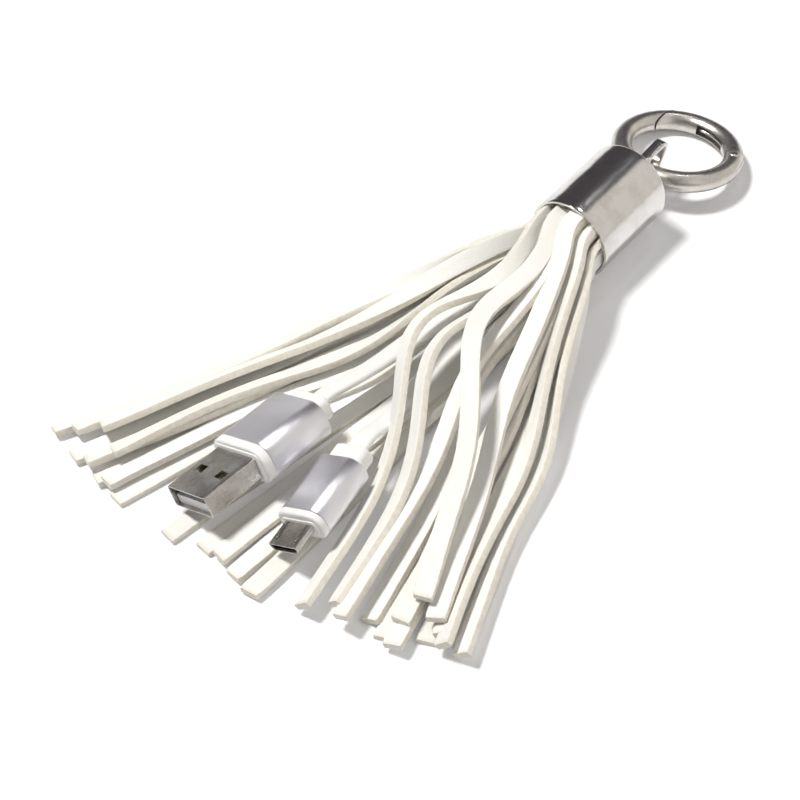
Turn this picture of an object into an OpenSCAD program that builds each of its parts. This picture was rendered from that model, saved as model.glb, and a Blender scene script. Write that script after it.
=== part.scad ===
// Key chain tassel with a charging cable folded into its cap, lying on a table.
// +Z is up and +Y runs from the tips of the tassel to the key ring.
// Lengths are in millimetres and angles in degrees.

/* [Cap] */
// Outer diameter of the cap
cap_d = 18; // [16.5:0.1:20]
// Length of the cap
cap_l = 21.4; // [20:0.1:26]
// Thickness of the cap's sheet
cap_wall = 0.6; // [0.4:0.05:0.8]
// Outer radius of the cap's closed edge
cap_edge_r = 0.9; // [0.8:0.05:1.6]

/* [Loop] */
// Width of the loop's strip
loop_w = 2.2; // [1.6:0.1:3.4]
// Thickness of the loop's strip
loop_t = 1; // [0.7:0.05:1.2]
// Distance between the centre lines of the loop's legs at the cap
loop_span = 4.6; // [4:0.1:6]
// Length of each foot folded behind the cap's end
loop_foot = 3; // [2:0.1:4]
// Length of the loop's straight side past the ring
loop_side = 5.4; // [4.6:0.1:7]

/* [Key ring] */
// Outer diameter of the ring
ring_d = 28; // [26:0.5:36]
// Diameter of the ring's wire
wire_d = 4.4; // [4:0.1:5]
// Tilt of the ring where it rests on the table
ring_tilt = 10.4; // [9:0.1:12]
// Sideways roll of the ring where it rests on the table
ring_roll = 3.7; // [0:0.1:5]
// Distance of the ring's wire from the cap's end
hang_out = 6.2; // [5.8:0.1:8]
// Place of the gate's pin round the ring
pin_at = 22; // [15:1:30]
// Diameter of the gate's pin
pin_d = 1.6; // [1.2:0.05:1.8]
// Thickness of the gate's tongue
tongue_t = 1.5; // [1.2:0.1:1.8]
// Distance from the pin to the seam at the gate's free end
seam_reach = 19.5; // [18.5:0.1:20]
// Width of the seam at the gate's free end
seam_gap = 0.3; // [0.15:0.05:0.5]
// Width of the slot inside the gate
gate_slot_w = 2.2; // [1.6:0.1:2.6]
// Diameter of the gate spring's wire
spring_d = 0.7; // [0.5:0.05:0.9]

/* [Fringe] */
// Width of one strip
strip_w = 3.6; // [3.2:0.1:3.8]
// Thickness of the leather
strip_t = 1.2; // [1:0.05:1.3]
// Reach of the longest strip from the cap's mouth
fringe_l = 99; // [95:1:120]
// Length of the uncut band rolled inside the cap
band_l = 16; // [12:0.5:16.5]
// Distance from the mouth at which the strips lie on the table
slump_l = 55; // [50:1:65]

/* [Cable] */
// Width of the flat cable
cable_w = 4.6; // [4:0.1:4.8]
// Thickness of the flat cable
cable_t = 1.7; // [1.4:0.05:1.75]

/* [USB A plug] */
// Width of the shell
usb_w = 12; // [11.9:0.05:12.1]
// Height of the shell
usb_h = 4.5; // [4.4:0.05:4.6]
// Length of the shell outside the moulding
usb_l = 12.6; // [12:0.1:13]
// Thickness of the shell's sheet
usb_wall = 0.3; // [0.25:0.01:0.35]
// Width of the sleeve
usb_sleeve_w = 15.8; // [15:0.1:17]
// Height of the sleeve
usb_sleeve_h = 7.8; // [7.2:0.1:8]
// Length of the sleeve
usb_sleeve_l = 13.9; // [12:0.1:14.5]
// Thickness of the collar in front of the sleeve
usb_collar_t = 1.9; // [1.2:0.1:2.2]
// Length of the strain relief behind the sleeve
usb_boot_l = 3.6; // [2.5:0.1:4]

/* [Micro plug] */
// Width of the shell
micro_w = 6.85; // [6.8:0.01:6.9]
// Height of the shell
micro_h = 1.8; // [1.75:0.01:1.85]
// Length of the shell outside the moulding
micro_l = 5.64; // [5.4:0.02:6]
// Thickness of the shell's sheet
micro_wall = 0.25; // [0.2:0.01:0.26]
// Width of the sleeve
micro_sleeve_w = 10.8; // [10:0.1:11.5]
// Height of the sleeve
micro_sleeve_h = 6.2; // [5.6:0.1:6.4]
// Length of the sleeve
micro_sleeve_l = 13; // [11:0.1:13.5]
// Thickness of the collar in front of the sleeve
micro_collar_t = 1.36; // [1:0.02:1.8]
// Length of the strain relief behind the sleeve
micro_boot_l = 4; // [3:0.1:4.4]

/* [Hidden] */
$fn = 64;

// Colours as in the photograph
c_nickel = "#aaa79f";
c_steel = "#8f8b84";
c_alu = "#b9b7bd";
c_leather = "#ece7da";
c_white = "#f4f2ec";
c_black = "#1c1c1e";
c_gold = "#c9a24a";

// The model is drawn from the middle of the cap's mouth, then moved so that its box is centred
origin_shift = [5, 23.2, 0];

// Cap
cap_r = cap_d / 2;
cap_z = cap_r;
cap_in_r = cap_r - cap_wall;
cap_floor = cap_l - cap_wall;

// Key ring: its near side hangs in the loop and its far side rests on the table
wire_r = wire_d / 2;
ring_r = ring_d / 2 - wire_r;
ring_lean = acos(cos(ring_tilt) * cos(ring_roll));
hang_y = cap_l + hang_out;
hang_z = wire_r + ring_r * (sin(ring_lean) + sin(ring_tilt) * cos(ring_roll));

// Gate of the key ring
cheek_r = wire_r + 0.1;
hinge_gap = 0.15;
fork_w = tongue_t + 0.3;
tongue_back = wire_r + 0.3;
tongue_r = wire_r - 0.2;
tongue_step = 0.1;
fork_back = tongue_back + 0.1;
pin_gap = 0.05;
pin_head = 0.2;
seam_mid = 133;
seam_spare = 28;
hinge_spare = 14;
gate_slot_from = 50;
gate_slot_to = 98;
gate_slot_depth = 0.7;
spring_inset = 1.5;
pin_x = ring_r * cos(pin_at);
pin_y = ring_r * sin(pin_at);

// Loop: it hugs the wire from below and comes to a rounded tip past it
hug_gap = 0.25;
slot_gap = 0.1;
hug_r = wire_r + hug_gap + loop_t / 2;
hug_from = -116;
hug_to = -25;
tip_r = 1.3;
tip_to = 95;
arc_steps = 12;

// Roll of leather in the cap: a spiral that starts at the top and winds inwards
roll_start = 80;
roll_gap = 0.1;
cut_gap = 0.1;
roll_r = sqrt(pow(cap_in_r, 2) - pow(strip_w / 2, 2)) - strip_t / 2 - 0.01;
roll_pitch = strip_t + roll_gap;
leg_gap = 0.1;
core_r = sqrt(pow(cable_w / 2, 2) + pow(cable_t + leg_gap / 2, 2));
roll_end = (roll_r - core_r - strip_t / 2 - 0.05) * 360 / roll_pitch;
band_from = 0.8;
band_start = -14;
band_steps = 54;
leaf_t = 0.02;
root_in = 1.5;

// Strips: slot on the roll, x of the tip, how much shorter than the longest,
// sideways bow, where the bow is, layer on the table and height of the arch
ROUTES = [
    [7, -30, 0, 3, 45, 0, 0],
    [18, -36, 1, 2, 45, 0, 0],
    [8, -43, 2, -1, 45, 0, 0],
    [9, -50, 4, -2, 45, 0, 0],
    [26, -33, 1, 2, 45, 1, 0],
    [19, -40, 2, 0, 45, 1, 0],
    [10, -47, 6, -2, 45, 1, 0],
    [27, -36, 6, 1, 45, 2, 0],
    [20, -43, 8, -1, 45, 2, 0],
    [6, -17, 0, 0, 50, 0, 0],
    [17, -10, 2, 0, 50, 0, 0],
    [16, -2, 1, 0, 50, 0, 0],
    [25, -6, 2, 0, 50, 1, 0],
    [24, 2, 0, 0, 50, 0.5, 0],
    [5, 27, 8, 2, 40, 0, 0],
    [15, 33, 12, 1, 40, 0, 0],
    [4, 39, 15, 1, 30, 0, 0],
    [23, 30, 7, 1, 40, 1, 0],
    [14, 35, 14, 1, 40, 1, 0],
    [3, 40, 13, 1, 30, 1, 0],
    [22, 28, 11, -1, 60, 2, 0],
    [13, 33, 15, 0, 50, 2, 0],
    [2, 37, 12, 1, 40, 2, 0],
    [12, 23, 9, -4, 40, 0, 6],
    [21, 14, 7, -9, 38, 1, 9],
    [11, 11, 3, -10, 38, 2, 9],
    [0, 18, 5, -8, 38, 2, 9],
    [1, 30, 16, -2, 45, 3, 0]
];
layer = strip_t + 0.25;
bed_gap = 0.05;
bow_w = 16;
arch_at = 44;
arch_w = 22;
arch_from = 12;
strip_steps = 22;

// Cable: two legs of one flat cable, folded in the cap, each ending in its plug
fold_y = 14;
leg_rise = (cable_t + leg_gap) / 2;
CABLE_USB = [[0, 5, 0.9], [0, -4, 0.9], [-3, -12, 0.7], [-6, -24, -0.4],
    [-8, -36, -1.4], [-10, -48, -1.8], [-12, -56, -2]];
CABLE_MICRO = [[0, 5, -0.9], [0, -4, -0.9], [-1, -12, -1.2], [-2, -24, -2],
    [-2, -36, -2.9], [-1, -48, -2.9], [0, -57, -2.1]];
cable_steps = 4;

// Plugs: the middle of each mouth and how each is turned as it lies
usb_mouth = [-15.4, -93.8, 7.2];
usb_turn = [-0.7, -28.7, -3.9];
usb_collar_y = usb_l;
usb_sleeve_y = usb_collar_y + usb_collar_t;
usb_boot_y = usb_sleeve_y + usb_sleeve_l;
usb_end = usb_boot_y + usb_boot_l;
usb_shell_in = 6;
usb_corner = 3.2;
usb_boot_w = 9.6;
usb_boot_h = 5;
usb_edge_r = 0.6;
usb_hole = [2.4, 2];
usb_hole_x = 3.2;
usb_hole_y = 5.4;
usb_dot_y = 9.9;
usb_dot_d = 0.7;
usb_tongue_w = 10.8;
usb_tongue_h = 1.9;
usb_tongue_y = 0.8;
usb_block_y = 9.8;
// Middle and front end of each contact
USB_PINS = [[-3.5, 1.6], [-1, 2.6], [1, 2.6], [3.5, 1.6]];
usb_pin_w = 1;
usb_pin_t = 0.15;

micro_mouth = [3.9, -90.3, 6.1];
micro_turn = [4.9, -27.7, 5.6];
micro_collar_y = micro_l;
micro_sleeve_y = micro_collar_y + micro_collar_t;
micro_boot_y = micro_sleeve_y + micro_sleeve_l;
micro_end = micro_boot_y + micro_boot_l;
micro_shell_in = 4;
micro_corner = 2.7;
micro_boot_w = 8;
micro_boot_h = 4.2;
micro_bevel = 0.75;
micro_throat = [5.2, 5, 0.72];
micro_latch_x = 2.35;
micro_latch_w = 0.45;
micro_latch_y = 1.3;
micro_latch_z = 0.45;
micro_latch_l = 3.9;
micro_latch_t = 0.3;
micro_latch_gap = 0.1;
micro_pin_pitch = 0.65;
micro_pin_w = 0.4;
micro_pin_y = 0.6;
micro_pin_t = 0.12;

sleeve_wall = 0.5;
boot_corner = 1.5;

// Small helpers

function smooth(t) = let (k = min(max(t, 0), 1)) k * k * (3 - 2 * k);
function bell(s, at, width) = exp(-pow((s - at) / width, 2));
function unit(v) = v / norm(v);
function turn_x(v, a) = [v.x, v.y * cos(a) - v.z * sin(a), v.y * sin(a) + v.z * cos(a)];
function turn_y(v, a) = [v.x * cos(a) + v.z * sin(a), v.y, -v.x * sin(a) + v.z * cos(a)];
function turn_z(v, a) = [v.x * cos(a) - v.y * sin(a), v.x * sin(a) + v.y * cos(a), v.z];
function turned(v, turn) = turn_z(turn_y(turn_x(v, turn.x), turn.y), turn.z);

// Extrudes a flat shape drawn in x and z from y0 to y1
module along_y(y0, y1) {
    translate([0, y1, 0])
        rotate([90, 0, 0])
            linear_extrude(y1 - y0)
                children();
}

// Extrudes a flat shape drawn in y and z across x, centred
module across_x(w) {
    rotate([90, 0, 90])
        translate([0, 0, -w / 2])
            linear_extrude(w)
                children();
}

module round_rect(w, h, r) {
    square([w - 2 * r, h], center = true);
    square([w, h - 2 * r], center = true);
    for (sx = [-1, 1], sz = [-1, 1]) {
        translate([sx * (w / 2 - r), sz * (h / 2 - r)])
            circle(r);
    }
}

// Sweeps rings of points into one closed solid, the first ring towards the start
module skin(rings) {
    n = len(rings[0]);
    last = len(rings) - 1;
    sides = [
        for (j = [0 : last - 1], i = [0 : n - 1])
            let (a = j * n + i, b = j * n + (i + 1) % n, c = b + n, d = a + n)
                each [[a, d, c], [a, c, b]]
    ];
    start = [[for (i = [0 : n - 1]) i]];
    end = [[for (i = [n - 1 : -1 : 0]) last * n + i]];
    polyhedron([for (ring = rings) each ring], concat(start, sides, end), convexity = 10);
}

// Moves the model to its final place
module placed() {
    translate(origin_shift)
        children();
}

// Cap

module cap_profile(r, l, edge) {
    square([r, l - edge]);
    square([r - edge, l]);
    translate([r - edge, l - edge])
        circle(edge);
}

module cap() {
    color(c_steel)
    placed()
    difference() {
        translate([0, 0, cap_z])
            rotate([-90, 0, 0])
                rotate_extrude()
                    difference() {
                        intersection() {
                            cap_profile(cap_r, cap_l, cap_edge_r);
                            square([cap_r, cap_l]);
                        }
                        translate([0, -1])
                            intersection() {
                                cap_profile(cap_in_r, cap_floor + 1, cap_edge_r - cap_wall);
                                square([cap_in_r, cap_floor + 1]);
                            }
                    }
        across_x(loop_w + 2 * slot_gap)
            flat_strip(LOOP_LINE, loop_t + 2 * slot_gap);
    }
}

// Loop, drawn in y and z: one strip from foot to foot, round the wire and the tip

side_from = [hang_y + hug_r * cos(hug_to), hang_z + hug_r * sin(hug_to)];
side_dir = [cos(hug_to + 90), sin(hug_to + 90)];
tip_at = side_from + loop_side * side_dir - tip_r * [cos(hug_to), sin(hug_to)];
top_foot = [cap_floor - loop_t, cap_z + loop_span / 2];
low_foot = [cap_floor - loop_t, cap_z - loop_span / 2];

function arc_line(at, r, from, to) =
    [for (i = [0 : arc_steps]) let (a = from + (to - from) * i / arc_steps) at + r * [cos(a), sin(a)]];

LOOP_LINE = concat(
    [low_foot - [0, loop_foot], low_foot],
    arc_line([hang_y, hang_z], hug_r, hug_from, hug_to),
    arc_line(tip_at, tip_r, hug_to, tip_to),
    [top_foot, top_foot + [0, loop_foot]]
);

// One side of a line of points, at the distance d to its left
function beside(line, d) = [
    for (i = [0 : len(line) - 1])
        let (
            before = unit(line[max(i, 1)] - line[max(i, 1) - 1]),
            after = unit(line[min(i, len(line) - 2) + 1] - line[min(i, len(line) - 2)]),
            mid = unit(before + after)
        )
            line[i] + d / (mid * after) * [-mid.y, mid.x]
];

module flat_strip(line, t) {
    right = beside(line, -t / 2);
    left = beside(line, t / 2);
    polygon(concat(right, [for (i = [len(left) - 1 : -1 : 0]) left[i]]));
}

module loop() {
    color(c_steel)
    placed()
    across_x(loop_w)
        flat_strip(LOOP_LINE, loop_t);
}

// Key ring, drawn flat about its middle with the loop at -Y

module in_ring() {
    placed()
    translate([0, hang_y, hang_z])
        rotate([-ring_tilt, -ring_roll, 0])
            translate([0, ring_r, 0])
                children();
}

module wire(from, to) {
    rotate([0, 0, from])
        rotate_extrude(angle = to - from)
            translate([ring_r, 0])
                circle(wire_r);
}

// A disc or hole about the gate's pin
module about_pin(r, h) {
    translate([pin_x, pin_y, -h / 2])
        cylinder(r = r, h = h);
}

// Turned so that the pin is at the origin, +X outwards and +Y on the gate's side
module at_pin() {
    rotate([0, 0, pin_at])
        translate([ring_r, 0, 0])
            children();
}

tall = 2 * wire_d;
hinge_l = 6;

// The half of the ring's plane past the pin, on the gate's side or the body's with side = -1
module past_pin(side, l, h) {
    at_pin()
    translate([-wire_d, side > 0 ? 0 : -l, -h / 2])
        cube([2 * wire_d, l, h]);
}

// The quarter of the ring's plane in which the seam lies
module seam_quarter() {
    rotate([0, 0, 90])
        translate([0, 0, -tall / 2])
            cube([ring_d, ring_d, tall]);
}

module ring_body() {
    color(c_nickel)
    in_ring()
    difference() {
        wire(seam_mid - seam_spare, 360 + pin_at + hinge_spare);
        // Round end of the two cheeks
        difference() {
            past_pin(1, hinge_l, tall);
            about_pin(cheek_r, 2 * tall);
        }
        // Slot between the cheeks
        past_pin(1, hinge_l, fork_w);
        past_pin(-1, fork_back, fork_w);
        // Hole that holds the pin
        about_pin(pin_d / 2, tall);
        // Seam, round about the pin so that the gate swings clear
        intersection() {
            about_pin(seam_reach + seam_gap / 2, tall);
            seam_quarter();
        }
    }
}

// Room for one cheek of the body, drawn flat about the pin
module cheek_room() {
    circle(cheek_r + hinge_gap);
    translate([-wire_d, -hinge_l])
        square([2 * wire_d, hinge_l]);
}

// Room behind the tongue: it is round inside and square outside, to stop the gate when it is shut
module tongue_room() {
    difference() {
        translate([-wire_d, -hinge_l])
            square([2 * wire_d, hinge_l - tongue_step]);
        circle(tongue_r);
        translate([0, -tongue_back])
            square([wire_d, tongue_back]);
    }
}

module ring_gate() {
    color(c_nickel)
    in_ring()
    difference() {
        wire(pin_at - hinge_spare, seam_mid + seam_spare);
        at_pin()
        translate([0, 0, tongue_t / 2])
            linear_extrude(tall)
                cheek_room();
        at_pin()
        translate([0, 0, -tongue_t / 2 - tall])
            linear_extrude(tall)
                cheek_room();
        at_pin()
        translate([0, 0, -tall])
            linear_extrude(2 * tall)
                tongue_room();
        about_pin(pin_d / 2 + pin_gap, tall);
        // Seam, round about the pin so that the gate swings clear
        difference() {
            seam_quarter();
            about_pin(seam_reach - seam_gap / 2, 2 * tall);
        }
        // Slot for the spring, open to the inside
        rotate([0, 0, gate_slot_from])
            rotate_extrude(angle = gate_slot_to - gate_slot_from)
                translate([ring_r - wire_d, -gate_slot_w / 2])
                    square([wire_d + gate_slot_depth, gate_slot_w]);
    }
}

module gate_pin() {
    color(c_nickel)
    in_ring()
    union() {
        about_pin(pin_d / 2, wire_d);
        for (side = [-1, 1]) {
            translate([pin_x, pin_y, side * wire_r])
                cylinder(r = pin_d / 2 + pin_head, h = pin_head, center = true);
        }
    }
}

// Hairpin of wire: one leg lies on the slot's floor, the other near the gate's inner face
spring_out = ring_r + gate_slot_depth - spring_d / 2;
spring_in = ring_r - spring_inset;
spring_from = gate_slot_from + 3;
spring_eye = gate_slot_to - 7;
spring_steps = 8;

function on_ring(r, a) = [r * cos(a), r * sin(a), 0];
function round_ring(p, t, d, n = 8) =
    let (up = cross(t, [0, 0, 1]))
        [for (i = [0 : n - 1]) p + d / 2 * ([0, 0, 1] * cos(360 * i / n) + up * sin(360 * i / n))];

module gate_spring() {
    leg = spring_eye - spring_from;
    half = (spring_out - spring_in) / 2;
    middle = on_ring(spring_in + half, spring_eye);
    out = [for (i = [0 : spring_steps]) spring_from + leg * i / spring_steps];
    color(c_steel)
    in_ring()
    skin(concat(
        [for (a = out) round_ring(on_ring(spring_out, a), on_ring(1, a + 90), spring_d)],
        [for (b = [30 : 30 : 150]) let (a = spring_eye + b)
            round_ring(middle + on_ring(half, a), on_ring(1, a + 90), spring_d)],
        [for (i = [spring_steps : -1 : 0]) let (a = out[i])
            round_ring(on_ring(spring_in, a), on_ring(1, a - 90), spring_d)]
    ));
}

// Fringe

// Radius of the roll and angle turned at each slot
function roll_at(a) = roll_r - roll_pitch * a / 360;
function slot_turn(i) =
    i < 1 ? 0 : let (a = slot_turn(i - 1)) a + (strip_w + cut_gap) / roll_at(a) * 180 / PI;

// Mouth end of a strip: x, height and roll of the strip's face
function root(slot) =
    let (a = slot_turn(slot), r = roll_at(a), p = ((roll_start - a) % 360 + 360) % 360)
        [r * cos(p), cap_z + r * sin(p), p <= 180 ? p - 90 : p - 270];

// Course of a strip at the distance s from the mouth
function strip_reach(row) = fringe_l - row[2];
function strip_x(row, root, s) =
    let (k = s / strip_reach(row), swell = pow(sin(180 * min(max(k, 0), 1)), 0.5))
        root[0] + (row[1] - root[0]) * k + row[3] * bell(s, row[4], bow_w) * swell;
function strip_roll(root, s) = root[2] * (1 - smooth(s / slump_l));
function strip_z(row, root, s) =
    let (
        a = strip_roll(root, s),
        bed = bed_gap + strip_t / 2 + row[5] * layer,
        arch = row[6] * bell(s, arch_at, arch_w) * smooth(s / arch_from),
        fall = bed + (root[1] - bed) * (1 - smooth(s / slump_l)) + arch,
        edge = bed_gap + strip_w / 2 * abs(sin(a)) + strip_t / 2 * abs(cos(a))
    )
        max(fall, edge);
function strip_point(row, root, s) = [strip_x(row, root, s), -s, strip_z(row, root, s)];

// One cross-section of a strip, four corners
function strip_ring(row, root, s) =
    let (
        p = strip_point(row, root, s),
        t = unit(strip_point(row, root, s + 0.5) - strip_point(row, root, s - 0.5)),
        side = unit([1, 0, 0] - t.x * t),
        up = cross(t, side),
        a = strip_roll(root, s),
        u = (side * cos(a) + up * sin(a)) * strip_w / 2,
        v = (up * cos(a) - side * sin(a)) * strip_t / 2
    )
        [p - u - v, p + u - v, p + u + v, p - u + v];

module strip(row) {
    start = root(row[0]);
    l = strip_reach(row);
    skin([for (i = [-1 : strip_steps]) strip_ring(row, start, i < 0 ? -root_in : l * i / strip_steps)]);
}

module band_leaf(a) {
    r = roll_at(a);
    phi = roll_start - a;
    translate([r * cos(phi), band_from + band_l / 2, cap_z + r * sin(phi)])
        rotate([0, -phi, 0])
            cube([strip_t, band_l, leaf_t], center = true);
}

// The spiral of leather, in short flat stretches
module band() {
    step = (roll_end - band_start) / band_steps;
    for (i = [0 : band_steps - 1]) {
        hull() {
            band_leaf(band_start + i * step);
            band_leaf(band_start + (i + 1) * step);
        }
    }
}

module fringe() {
    color(c_leather)
    placed()
    union() {
        band();
        for (row = ROUTES) {
            strip(row);
        }
    }
}

// Cable

function catmull(p, i, t) =
    let (a = p[max(i - 1, 0)], b = p[i], c = p[i + 1], d = p[min(i + 2, len(p) - 1)])
        0.5 * (2 * b + (c - a) * t + (2 * a - 5 * b + 4 * c - d) * t * t + (3 * b - a - 3 * c + d) * t * t * t);

// Flat section with round edges, as side and height
cable_section = [
    for (k = [0, 1], i = [0 : 5])
        let (a = -90 + 180 * k + 36 * i, side = 1 - 2 * k)
            [side * (cable_w - cable_t) / 2 + cable_t / 2 * cos(a), cable_t / 2 * sin(a)]
];

function cable_ring(p, t, roll) =
    let (
        side0 = unit([1, 0, 0] - t.x * t),
        up0 = cross(t, side0),
        side = side0 * cos(roll) + up0 * sin(roll),
        up = up0 * cos(roll) - side0 * sin(roll)
    )
        [for (q = cable_section) p + side * q.x + up * q.y];

// One leg: quarter turn at the fold, along its route, then straight into its plug
module cable_leg(rise, route, mouth, turn, end) {
    above = rise > 0 ? 1 : -1;
    fold = [
        for (a = [0 : 22.5 : 90])
            [[0, fold_y + leg_rise * cos(a), cap_z + above * leg_rise * sin(a)],
                [0, -sin(a), above * cos(a)]]
    ];
    into = mouth + turned([0, end, 0], turn);
    before = mouth + turned([0, end + 4, 0], turn);
    course = [for (p = route) p + [0, 0, cap_z]];
    points = concat(course, [before, into]);
    n = len(points) - 1;
    fine = [
        for (i = [0 : n - 1], k = [0 : cable_steps - 1])
            catmull(points, i, k / cable_steps)
    ];
    aim = turned([0, -1, 0], turn);
    flat = turned([1, 0, 0], turn);
    level = unit([1, 0, 0] - aim.x * aim);
    end_roll = acos(flat * level);
    rolls = [for (p = fine) end_roll * smooth((-p.y - 20) / (-into.y - 26))];
    m = len(fine);
    rings = concat(
        [for (f = fold) cable_ring(f[0], f[1], 0)],
        [
            for (i = [0 : m - 1])
                let (next = i < m - 1 ? fine[i + 1] : into, last = i > 0 ? fine[i - 1] : fold[4][0])
                    cable_ring(fine[i], unit(next - last), rolls[i])
        ],
        [cable_ring(into, aim, end_roll)]
    );
    skin(rings);
}

module cable_usb_a() {
    color(c_white)
    placed()
    cable_leg(1, CABLE_USB, usb_mouth, usb_turn, usb_end);
}

module cable_micro() {
    color(c_white)
    placed()
    cable_leg(-1, CABLE_MICRO, micro_mouth, micro_turn, micro_end);
}

// USB A plug, drawn with the middle of its mouth at the origin and its cable end at +Y

module in_usb() {
    placed()
    translate(usb_mouth)
        rotate(usb_turn)
            children();
}

module usb_inside() {
    round_rect(usb_w - 2 * usb_wall, usb_h - 2 * usb_wall, usb_edge_r - usb_wall);
}

module usb_a_shell() {
    color(c_steel)
    in_usb()
    difference() {
        along_y(0, usb_l + usb_shell_in)
            difference() {
                round_rect(usb_w, usb_h, usb_edge_r);
                usb_inside();
            }
        for (side = [-1, 1]) {
            translate([side * usb_hole_x - usb_hole.x / 2, usb_hole_y, -usb_h])
                cube([usb_hole.x, usb_hole.y, 2 * usb_h]);
        }
        translate([0, usb_dot_y, 0])
            cylinder(d = usb_dot_d, h = usb_h);
    }
}

module usb_a_insulator() {
    color(c_white)
    in_usb()
    union() {
        along_y(usb_tongue_y, usb_block_y)
            translate([-usb_tongue_w / 2, -usb_h / 2 + usb_wall])
                square([usb_tongue_w, usb_tongue_h]);
        along_y(usb_block_y, usb_l + usb_shell_in)
            usb_inside();
    }
}

module usb_a_contacts() {
    top = -usb_h / 2 + usb_wall + usb_tongue_h;
    color(c_gold)
    in_usb()
    for (pin = USB_PINS) {
        translate([pin.x - usb_pin_w / 2, pin.y, top])
            cube([usb_pin_w, usb_block_y - pin.y, usb_pin_t]);
    }
}

// White moulding of a plug: collar, core inside the sleeve and strain relief
module mould(w, h, corner, collar_y, sleeve_y, boot_y, end, boot_w, boot_h) {
    along_y(collar_y, sleeve_y)
        round_rect(w, h, corner);
    along_y(sleeve_y, boot_y)
        round_rect(w - 2 * sleeve_wall, h - 2 * sleeve_wall, corner - sleeve_wall);
    along_y(boot_y, end)
        round_rect(boot_w, boot_h, boot_corner);
}

module sleeve(w, h, corner, y0, y1) {
    along_y(y0, y1)
        difference() {
            round_rect(w, h, corner);
            round_rect(w - 2 * sleeve_wall, h - 2 * sleeve_wall, corner - sleeve_wall);
        }
}

module usb_a_mould() {
    color(c_white)
    in_usb()
    difference() {
        mould(usb_sleeve_w, usb_sleeve_h, usb_corner,
            usb_collar_y, usb_sleeve_y, usb_boot_y, usb_end, usb_boot_w, usb_boot_h);
        along_y(usb_collar_y - 1, usb_l + usb_shell_in)
            round_rect(usb_w, usb_h, usb_edge_r);
    }
}

module usb_a_sleeve() {
    color(c_alu)
    in_usb()
    sleeve(usb_sleeve_w, usb_sleeve_h, usb_corner, usb_sleeve_y, usb_boot_y);
}

// Micro plug, drawn the same way, its lower edges bevelled

module in_micro() {
    placed()
    translate(micro_mouth)
        rotate(micro_turn)
            children();
}

module micro_outline(w, h, bevel) {
    polygon([
        [-w / 2, h / 2],
        [w / 2, h / 2],
        [w / 2, -h / 2 + bevel],
        [w / 2 - bevel, -h / 2],
        [-w / 2 + bevel, -h / 2],
        [-w / 2, -h / 2 + bevel]
    ]);
}

// Bevel of the outline one wall further in
micro_in_bevel = micro_bevel - (2 - sqrt(2)) * micro_wall;

module micro_inside() {
    micro_outline(micro_w - 2 * micro_wall, micro_h - 2 * micro_wall, micro_in_bevel);
}

// A bar along one of the two latches, from the distance y past the latch's front end
module latch_bar(side, y, l, h) {
    translate([side * micro_latch_x - micro_latch_w / 2, micro_latch_y + y, micro_latch_z])
        cube([micro_latch_w, l, h]);
}

module micro_shell() {
    slot_w = micro_latch_w + 2 * micro_latch_gap;
    color(c_steel)
    in_micro()
    difference() {
        along_y(0, micro_l + micro_shell_in)
            difference() {
                micro_outline(micro_w, micro_h, micro_bevel);
                micro_inside();
            }
        for (side = [-1, 1]) {
            translate([side * micro_latch_x - slot_w / 2, micro_latch_y - micro_latch_gap, 0])
                cube([slot_w, micro_latch_l + 2 * micro_latch_gap, micro_h]);
        }
    }
}

module micro_insulator() {
    color(c_black)
    in_micro()
    difference() {
        along_y(0.1, micro_l + micro_shell_in)
            micro_inside();
        translate([-micro_throat.x / 2, -1, -micro_throat.z / 2])
            cube([micro_throat.x, micro_throat.y + 1, micro_throat.z]);
        for (side = [-1, 1]) {
            latch_bar(side, 0, micro_latch_l, micro_h);
        }
    }
}

module micro_contacts() {
    color(c_gold)
    in_micro()
    for (i = [-2 : 2]) {
        translate([micro_pin_pitch * i - micro_pin_w / 2, micro_pin_y, -micro_throat.z / 2])
            cube([micro_pin_w, micro_throat.y - micro_pin_y, micro_pin_t]);
    }
}

module micro_latches() {
    color(c_steel)
    in_micro()
    for (side = [-1, 1]) {
        latch_bar(side, 0, micro_latch_l, micro_latch_t);
        // Hook that stands out of the slot
        latch_bar(side, 0.2, 0.8, 0.7);
    }
}

module micro_mould() {
    color(c_white)
    in_micro()
    difference() {
        mould(micro_sleeve_w, micro_sleeve_h, micro_corner,
            micro_collar_y, micro_sleeve_y, micro_boot_y, micro_end, micro_boot_w, micro_boot_h);
        along_y(micro_collar_y - 1, micro_l + micro_shell_in)
            micro_outline(micro_w, micro_h, micro_bevel);
    }
}

module micro_sleeve() {
    color(c_alu)
    in_micro()
    sleeve(micro_sleeve_w, micro_sleeve_h, micro_corner, micro_sleeve_y, micro_boot_y);
}

cap();
loop();
ring_body();
gate_pin();
ring_gate();
gate_spring();
fringe();
cable_usb_a();
cable_micro();
usb_a_shell();
usb_a_insulator();
usb_a_contacts();
usb_a_mould();
usb_a_sleeve();
micro_shell();
micro_insulator();
micro_contacts();
micro_latches();
micro_mould();
micro_sleeve();
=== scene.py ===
# %% [markdown]
# A tassel key chain lies on a white table. A plated cap holds a rolled piece of white leather
# that is cut into strips, and a flat white charging cable is folded into the roll, with a plug
# at each end. A loop on the cap carries a round spring-gate key ring. Everything is drawn in
# metres in the frame of the CAD model, which is loaded first.

# %% Load the frame
import math
import random

import bmesh
import bpy
from mathutils import Matrix, Vector


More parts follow.
